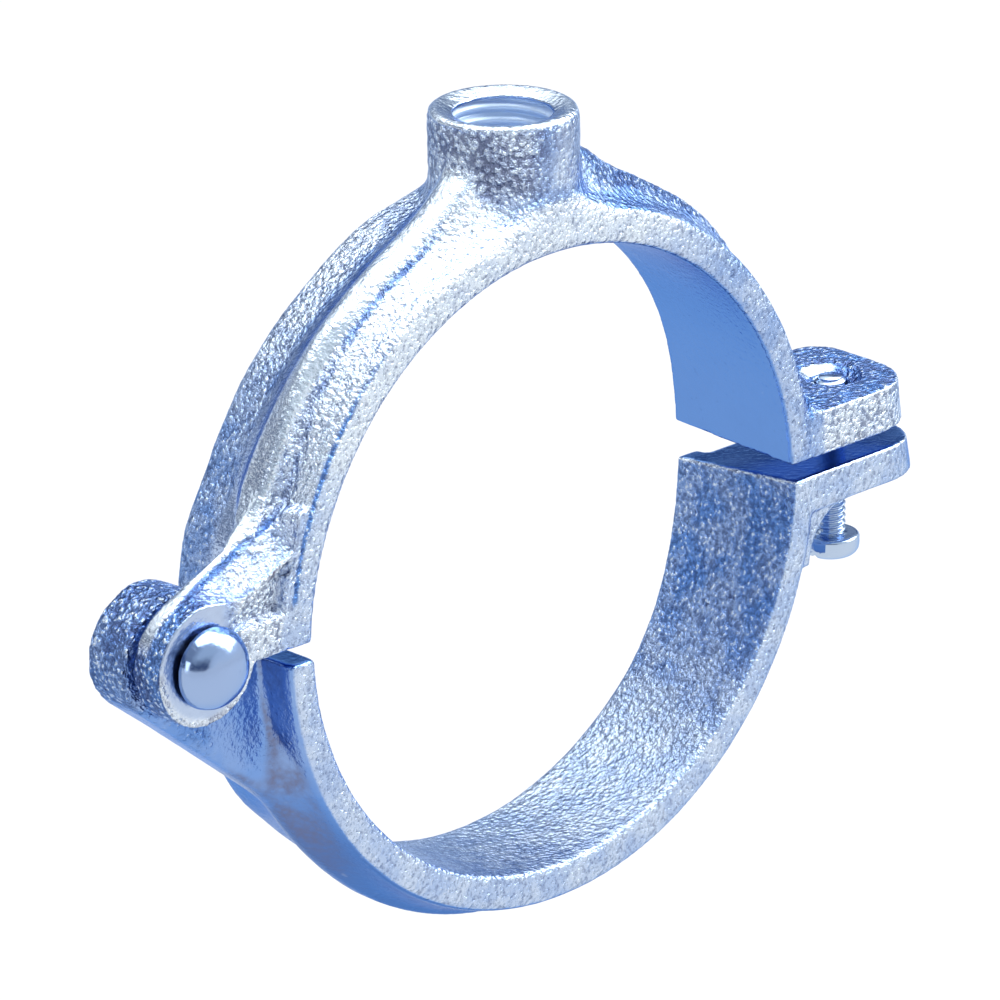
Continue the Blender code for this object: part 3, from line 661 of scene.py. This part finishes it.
def keep_inside(item, node):
    """No point of the finished piece lies outside the CAD node's own box."""
    low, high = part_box(node)
    set_coordinates(item.data, np.clip(coordinates(item.data), np.array(low), np.array(high)))


def settle(item, body, node):
    """Puts the finished piece in its CAD node's place."""
    keep_inside(item, node)
    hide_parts(node)
    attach(item, body)


# The upper half. A straight crest slopes down over the hinge, along the top of the lug plate.
DOWN_FROM_CREST = (0.522, 0.0, -0.853)
CREST_FROM_CENTRE = 34.4


def below_crest(skin):
    """How far a point of the lug plate lies under the crest over the hinge."""
    along_x, _, along_z = DOWN_FROM_CREST
    return CREST_FROM_CENTRE + along_z * skin.z + along_x * skin.x


def crown_and_crest(skin):
    """The boss's crown and the crest over the hinge."""
    crown = ease(skin.height, -2.0, -1.2) * ease(skin.from_rod, 6.8, 7.2)
    crest = ease(-skin.x, 39.0, 41.5) * under(below_crest(skin), 1.0, 2.0)
    return np.clip(crown + crest * ease(-skin.y, 2.2, 3.0), 0.0, 1.0)


def upper_rib(skin):
    """The rib's crest round the outside of the band."""
    outside = ease(skin.radius, 40.8, 41.4) * near(skin.y, -1.45, 2.6, 3.4)
    return outside * ease(-skin.x, 6.0, 9.0)


def boss_foot(skin):
    """The wide hollow fillet where the boss grows out of the rib and the band."""
    about_rod = under(skin.from_rod, 11.5, 15.5) * ease(skin.from_rod, 7.6, 8.2)
    return about_rod * ease(-skin.height, 3.0, 6.0) * ease(skin.z, 38.0, 39.0)


def dish_crown(skin):
    """How far the sunk mouth of the boss is lifted to the shallow dish of the casting."""
    dish_depth = 0.85
    dish = dish_depth * ease(skin.from_rod, 4.6, 7.9) - dish_depth
    chosen = ease(skin.nz, 0.15, 0.5) * (skin.height > -2.6) * (skin.from_rod < 8.0)
    return (dish - skin.height) * chosen


def crest_line(skin):
    """Where along Y the crest over the hinge runs: near the gap, and further forward at the lug."""
    return -3.6 - 1.6 * ease(-skin.x, 48.0, 56.0)


def crest_slope(skin):
    """How far the top of the lug plate falls away on both sides of its narrow crest."""
    beside = under(below_crest(skin), 0.3, 6.0) * ease(-skin.x, 38.0, 42.0)
    beside = beside * ease(skin.x, -54.0, -48.0)
    before = 0.9 * np.clip(crest_line(skin) - 0.5 - skin.y, 0.0, 3.8)
    behind = 1.2 * np.clip(skin.y - crest_line(skin) - 0.8, 0.0, 2.0) * (skin.y < -2.0)
    return beside * ease(skin.z, 3.0, 6.0) * (before + behind)


def rising_crest(skin, beside=0.0):
    """The narrow crest that leaves the hinge and runs up the flank into the rib."""
    path = -3.4 + 2.0 * under(skin.angle, 128.0, 157.0) + beside
    along = under(skin.angle, 157.0, 162.0) * ease(skin.angle, 124.0, 134.0)
    return near(skin.y, path, 0.2, 1.3) * (along * ease(skin.radius, 40.6, 41.2))


def upper_relief(skin):
    """Depths of the cast pocket, the ring round the rivet and the sink in the ear, less crests."""
    plate = skin.front * ease(-skin.x, 38.0, 39.5)
    inside = ease(skin.radius, 41.5, 42.1) * ease(below_crest(skin), 3.4, 4.0)
    above = ease(skin.z, 5.4, 6.0)
    pocket = inside * above * ease(skin.x, -52.5, -46.0)
    ring = under(skin.from_hinge, 6.0, 6.6)
    face = np.maximum(1.2 * pocket, np.maximum(0.4 * inside * above, 0.12 * ring))
    sink = skin.top * under(skin.from_screw, 2.0, 3.6) * (skin.x > 44.0)
    slope = ease(skin.outward, 0.1, 0.4) * ease(skin.ny, -0.97, -0.85)
    rise = 0.7 * rising_crest(skin) - 0.3 * rising_crest(skin, -1.7)
    return plate * face + 0.45 * sink - slope * rise


def mark_upper(skin):
    """Where the upper half's skin is rough or smooth, stained, and pale or dark by painted light
    and shade.
    """
    # The rib on the left, its crest, and the band in front of it and behind it
    left = ease(-skin.x, 4.0, 9.0) * ease(skin.radius, 39.8, 40.3)
    lean = ease(skin.angle, 118.0, 160.0)
    flank = left * ease(-skin.y, 3.3, 3.9)
    beside_rib = left * near(skin.y, -3.9, 0.2, 0.6)
    beside_rib = beside_rib * under(skin.angle, 128.0, 150.0) * ease(skin.angle, 106.0, 112.0)
    crest = left * ease(skin.radius, 41.9, 42.3) * near(skin.y, -1.5, 1.7, 2.4)
    fall = left * near(skin.y, 1.9, 1.0, 1.6)
    rear = left * ease(skin.y, 3.3, 4.2)
    rising = left * rising_crest(skin)
    below_rising = left * rising_crest(skin, -1.5)
    gusset = ease(skin.x, 8.0, 10.0) * ease(skin.radius, 41.6, 42.2) * ease(skin.z, 10.0, 14.0)

    # The hinge lug and the plate over it
    lug_end = left * ease(skin.radius, 46.0, 49.0)
    plate_top = ease(-skin.x, 38.5, 41.0) * ease(skin.nz - skin.nx, 0.4, 0.8)
    plate_top = plate_top * ease(skin.z, 4.0, 7.0) * (skin.y < -1.8)
    from_crest = skin.y - crest_line(skin)
    hinge_crest = plate_top * near(from_crest, 0.0, 0.8, 1.2)
    under_crest = plate_top * near(from_crest, -1.5, 0.2, 0.5)
    plate_slope = plate_top * ease(-from_crest, 0.8, 1.4) * ease(skin.x, -54.0, -50.0)
    above_rivet = skin.front * ease(-skin.x, 47.0, 50.5)
    pocket = skin.front * ease(skin.radius, 41.7, 42.1)
    pocket = pocket * ease(-skin.x, 38.0, 40.0) * ease(skin.x, -50.0, -47.0)
    ring = skin.front * under(skin.from_hinge, 7.6, 8.4) * ease(skin.from_hinge, 5.6, 6.2)
    ring = ring * under(skin.z, 2.0, 5.0)

    # The boss: rough, with painted shade in front and painted highlights to its left and right
    to_right = skin.x - 0.6 * skin.y
    to_left = -skin.x - 0.3 * skin.y
    boss = under(skin.from_rod, 9.0, 10.5) * ease(skin.z, 41.5, 44.5) * under(skin.nz, 0.2, 0.5)
    boss_grit = 2.0 - 1.2 * ease(to_right, 0.0, 5.0)
    boss_pale = 0.85 * ease(to_left, 2.5, 6.5) - 0.12 + 0.8 * ease(to_right, 2.0, 6.5)
    crown = ease(skin.nz, 0.35, 0.6) * (skin.z > 47.0)
    rod_hole = under(skin.from_rod, 6.9, 7.2)

    # The ear
    ear = ease(skin.x, 41.0, 42.5)
    ear_edge = ear * ease(skin.nz, 0.25, 0.45) * ease(-skin.ny, 0.3, 0.5)

    # The band's front face, the line along its rim, its bore and its split face
    strip = skin.front * under(skin.radius, 41.4, 42.4)
    lower_strip = 0.35 * ease(skin.angle, 145.0, 160.0)
    strip_pale = 0.45 + 0.55 * ease(skin.angle, 50.0, 75.0) - lower_strip
    sides = np.maximum(ease(skin.x, 8.0, 12.0), ease(skin.angle, 118.0, 150.0))
    border = near(skin.radius, 40.35, 0.14, 0.34) * ease(-skin.y, 8.0, 8.4)
    border = border * ease(skin.z, 5.5, 7.0) * sides
    bore = ease(-skin.outward, 0.6, 0.85) * under(skin.radius, 37.8, 38.5)
    bore_pale = -0.10 - 0.3 * ease(skin.angle, 20.0, 60.0)
    split = ease(-skin.nz, 0.8, 0.95) * near(skin.z, 0.0, 2.0, 3.0)

    # Each layer's share, grit and paleness. The paleness is painted light and shade: painted
    # highlights on the flank, the crests, the boss's sides, crown and mouth, the pocket, the ring
    # round the rivet, the ear's front and rim and the band's front face; painted shade on the
    # boss's front, the gusset, the lug's end, under the crest over the hinge, on the ear's top,
    # along the rim's border, in the bore and on the split face. Later layers cover earlier ones.
    layers = (
        (flank, 0.75, 1.05 - 0.1 * lean),
        (beside_rib, 1.6, 0.3),
        (below_rising, 1.3, 0.6),
        (rising, 0.3, 1.1),
        (gusset, 2.2, 0.1),
        (rear, 1.1, 0.75 - 0.5 * lean),
        (fall, 0.35, 0.5),
        (crest, 0.35, 1.0),
        (lug_end, 2.0, -0.1),
        (plate_slope, 1.0, 0.55),
        (under_crest, 1.6, -0.1),
        (hinge_crest, 0.25, 1.1),
        (boss, boss_grit, boss_pale),
        (crown, 0.35, 1.0),
        (ear * skin.top, 1.5, -0.2),
        (ear * skin.front, 1.3, 0.95),
        (pocket, 1.3, 1.0),
        (above_rivet, 0.12, 0.6),
        (ring, 0.9, 1.0),
        (strip, 0.85, strip_pale),
        (border, 1.3, -0.15),
        (bore, 0.22, bore_pale),
        (split, 0.1, -0.3),
        (rod_hole, 0.3, 1.0),
        (ear_edge, 0.3, 1.2),
    )
    skin.paint(0.85, 0.25, layers)

    # One stain in the pocket above the hinge, and a third of the stain colour on the rough parts
    from_stain = np.hypot((skin.x + 42.6) / 1.0, (skin.z - 12.0) / 3.4)
    stain = 1.1 * skin.front * under(from_stain, 0.3, 1.0)
    rough_parts = np.maximum(np.maximum(ear * skin.top, lug_end), np.maximum(boss, gusset))
    skin.mark("stain", np.maximum(stain, 0.35 * rough_parts))


def paint_thread(item, finishes):
    """Gives the faces of the cut thread their own finish."""
    mesh = item.data
    centre = np.zeros(len(mesh.polygons) * 3, np.float32)
    mesh.polygons.foreach_get("center", centre)
    x, y, z = centre.reshape(-1, 3).T / MM
    just_past_thread = 6.3
    inside = (np.hypot(x, y) < just_past_thread) & (z < ROD_HOLE_TOP / MM)
    mesh.materials.clear()
    mesh.materials.append(finishes["casting"])
    mesh.materials.append(finishes["thread"])
    mesh.polygons.foreach_set("material_index", inside.astype(np.int32))
    mesh.update()


def make_upper(nodes, trees, finishes):
    """The upper half: cast skin, with the rod's thread cut in its boss."""
    item = soften(merged_copy("upper_casting", nodes["upper_half_ring"]), CASTING_VOXEL, rounds=3)
    for direction, distance in (((0.0, 0.0, 1.0), dish_crown), (DOWN_FROM_CREST, crest_slope)):
        skin = Skin(item)
        skin.shift(direction, distance(skin))
    skin = Skin(item)
    skin.sink(upper_relief(skin))
    for places, rounds in ((crown_and_crest, 12), (upper_rib, 36), (boss_foot, 60)):
        round_off(item, places, rounds)
    mark_upper(Skin(item))
    grow(item, trees["skin"], {"Finish": finishes["casting"]})
    middle = (0.0, 0.0, ROD_HOLE_TOP - ROD_HOLE_LENGTH / 2.0)
    tap = threaded_bar("rod_tap", trees, ROD_THREAD, ROD_HOLE_LENGTH, middle, finishes["thread"])
    combine(item, tap, "DIFFERENCE")
    paint_thread(item, finishes)
    settle(item, "upper", "upper_half_ring")


# The lower half
def lower_web(skin):
    """The outside of the lower half beside the hinge, where lug, rib and band meet."""
    beside_hinge = ease(-skin.x, 22.0, 30.0) * ease(-skin.z, 3.0, 7.0)
    return beside_hinge * ease(skin.radius, 40.0, 40.8) * near(skin.y, 0.0, 7.6, 8.2)


def mark_lower(skin):
    """Where the lower half's skin is hammered or smooth, stained, and pale or dark by painted light
    and shade.
    """
    under_ring = ease(skin.outward, 0.3, 0.6) * ease(-skin.z, 14.0, 28.0)
    lug = ease(-skin.x, 46.0, 50.0) * ease(skin.nz - skin.nx, -0.2, 0.3)
    band = np.maximum(under(skin.radius, 41.2, 42.2), ease(skin.x, 37.5, 39.0))
    front = skin.front * band * ease(-skin.y, 7.2, 8.0)
    bore = ease(-skin.outward, 0.6, 0.85) * under(skin.radius, 37.8, 38.5)
    far = ease(-skin.angle, 22.0, 60.0)
    split = ease(skin.nz, 0.8, 0.95) * near(skin.z, 0.0, 3.0, 4.0)
    split_edge = ease(skin.nz, 0.25, 0.45) * ease(-skin.outward, 0.25, 0.45)
    split_edge = split_edge * ease(skin.z, -5.0, -4.0)
    ear_edge = ease(skin.x, 38.0, 40.0) * ease(skin.nz, 0.25, 0.45) * ease(-skin.ny, 0.3, 0.5)

    # Each layer's share, grit and paleness. The paleness is painted light and shade: painted
    # shade under the ring, painted highlights on the front face, the far part of the bore, the
    # split's inner edge and the ear's rim. Later layers cover earlier ones.
    layers = (
        (under_ring, 0.2, -0.6),
        (lug, 2.0, 0.1),
        (front, 0.8, 0.62),
        (bore, 1.4 - 0.65 * far, 0.12 + 0.5 * far),
        (split, 0.1, 0.0),
        (split_edge, 1.2, 1.1),
        (ear_edge, 0.3, 1.2),
    )
    skin.paint(0.3, 0.12, layers)
    web = ease(-skin.x, 24.0, 34.0) * ease(skin.outward, 0.3, 0.6)
    web = web * near(skin.y, -3.0, 3.0, 5.5) * ease(skin.x, -46.0, -43.0)
    skin.mark("stain", np.maximum(web, 0.3 * lug))


def make_lower(nodes, trees, finishes):
    """The lower half, with its hammered bore."""
    item = soften(merged_copy("lower_casting", nodes["lower_half_ring"]), CASTING_VOXEL, rounds=3)
    round_off(item, lower_web, rounds=60)
    mark_lower(Skin(item))
    grow(item, trees["skin"], {"Finish": finishes["casting"]})
    settle(item, "lower", "lower_half_ring")


# The small parts
def make_rivet(nodes, trees, finishes):
    """The hinge rivet with its domed head."""
    item = soften(merged_copy("rivet_dome", nodes["hinge_rivet"]), RIVET_VOXEL, rounds=8)
    skin = Skin(item)
    skin.mark("grit", np.ones(len(skin.x)))
    sizes = {
        "Wave Size": 3.0 * MM,
        "Wave Depth": 0.05 * MM,
        "Dimple Depth": 0.015 * MM,
        "Finish": finishes["bright"],
    }
    grow(item, trees["skin"], sizes)
    settle(item, "upper", "hinge_rivet")


def block_above(level, size):
    """A cube round the screw's axis that stands on the level."""
    mesh = bpy.data.meshes.new("above_head")
    work = bmesh.new()
    place = Matrix.Translation((SCREW_PLACE.x, SCREW_PLACE.y, level + size / 2.0))
    bmesh.ops.create_cube(work, size=size, matrix=place)
    work.to_mesh(mesh)
    work.free()
    return link_mesh("above_head", mesh)


def make_screw(nodes, trees, finishes):
    """The clamp screw: its own CAD shape for the head, and a threaded shank."""
    head = merged_copy("threaded_screw", nodes["clamp_screw"])
    soften(head, SCREW_VOXEL, rounds=2)
    seat = RING_CENTRE.z + SCREW_HEAD_SEAT
    combine(head, block_above(seat + 0.05 * MM, 30.0 * MM), "DIFFERENCE")

    # The shank reaches into the head, so that the two join
    in_head = 0.5 * MM
    length = SCREW_TIP - SCREW_HEAD_SEAT
    middle = (SCREW_PLACE.x, SCREW_PLACE.y, seat + length / 2.0 - in_head / 2.0)
    shank = threaded_bar("shank", trees, SCREW_THREAD, length + in_head, middle, finishes["screw"])
    combine(head, shank, "UNION")
    head.data.materials.clear()
    head.data.materials.append(finishes["screw"])
    head.data.shade_smooth()
    settle(head, "screw", "clamp_screw")


# Floor, light and surroundings
def make_floor():
    """A floor that looks white to the camera and still takes the hanger's shadow."""
    corners = ((-1, -1), (1, -1), (1, 1), (-1, 1))
    points = [(x * FLOOR_REACH, y * FLOOR_REACH, FLOOR_LEVEL) for x, y in corners]
    mesh = bpy.data.meshes.new("floor")
    mesh.from_pydata(points, [], [(0, 1, 2, 3)])
    floor = link_mesh("floor", mesh)
    paper = bpy.data.materials.new("floor_paper")
    paper.use_nodes = True
    tree = paper.node_tree
    shader = tree.nodes["Principled BSDF"]
    shader.inputs["Base Color"].default_value = (0.9, 0.9, 0.9, 1.0)
    shader.inputs["Roughness"].default_value = 0.9
    white = {"Color": (1.0, 1.0, 1.0, 1.0), "Strength": 1.0}
    glow = put(tree, "ShaderNodeEmission", white)
    path = put(tree, "ShaderNodeLightPath").outputs
    mirrored = calc(tree, "MAXIMUM", path["Is Glossy Ray"], path["Is Transmission Ray"])
    seen = calc(tree, "MAXIMUM", path["Is Camera Ray"], mirrored)
    share = calc(tree, "MULTIPLY", seen, FLOOR_GLOW)
    mix = {0: share, 1: shader.outputs[0], 2: glow.outputs[0]}
    mixed = put(tree, "ShaderNodeMixShader", mix)
    tree.links.new(mixed.outputs[0], tree.nodes["Material Output"].inputs[0])
    floor.data.materials.append(paper)


def make_lamps():
    """Square lamps that all point at the ring's centre."""
    for name, place, size, radiance in LAMPS:
        lamp = bpy.data.lights.new(name, "AREA")
        lamp.size = size
        lamp.energy = radiance * math.pi * size * size
        item = bpy.data.objects.new(name, lamp)
        item.location = Vector(place) + RING_CENTRE
        item.rotation_mode = "QUATERNION"
        item.rotation_quaternion = (-Vector(place)).to_track_quat("-Z", "Y")
        bpy.context.scene.collection.objects.link(item)


def make_air():
    """The air that the metal mirrors: white below, dark low over the horizon, pale high up."""
    world = bpy.data.worlds.new("studio")
    bpy.context.scene.world = world
    world.use_nodes = True
    tree = world.node_tree
    direction = put(tree, "ShaderNodeTexCoord").outputs["Generated"]
    x, y, z = list(put(tree, "ShaderNodeSeparateXYZ", {0: direction}).outputs)
    to_right = span(tree, calc(tree, "SUBTRACT", x, y), 0.55, 0.85)
    level_air = tint(tree, to_right, LOW_AIR, LOW_AIR_RIGHT)
    low_air = tint(tree, span(tree, z, 0.08, 0.17), LOWEST_AIR, level_air)
    behind = calc(tree, "MULTIPLY", span(tree, y, 0.40, 0.65), span(tree, x, -0.7, -0.5))
    to_left = calc(tree, "MULTIPLY", span(tree, x, -0.2, -0.45), span(tree, y, -0.4, -0.1))
    front_air = tint(tree, to_left, HIGH_AIR_FRONT, HIGH_AIR_LEFT)
    high_air = tint(tree, behind, front_air, HIGH_AIR_BEHIND)
    colour = tint(tree, span(tree, z, 0.30, 0.62), low_air, high_air)
    tree.links.new(colour, tree.nodes["Background"].inputs["Color"])


def main():
    make_camera()
    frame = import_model()
    finishes = make_finishes()
    trees = {"skin": skin_tree(), "thread": thread_tree()}
    nodes = frame["nodes"]
    make_upper(nodes, trees, finishes)
    make_lower(nodes, trees, finishes)
    make_rivet(nodes, trees, finishes)
    make_screw(nodes, trees, finishes)
    make_floor()
    make_lamps()
    make_air()
    bpy.context.scene.view_settings.view_transform = "Standard"


main()
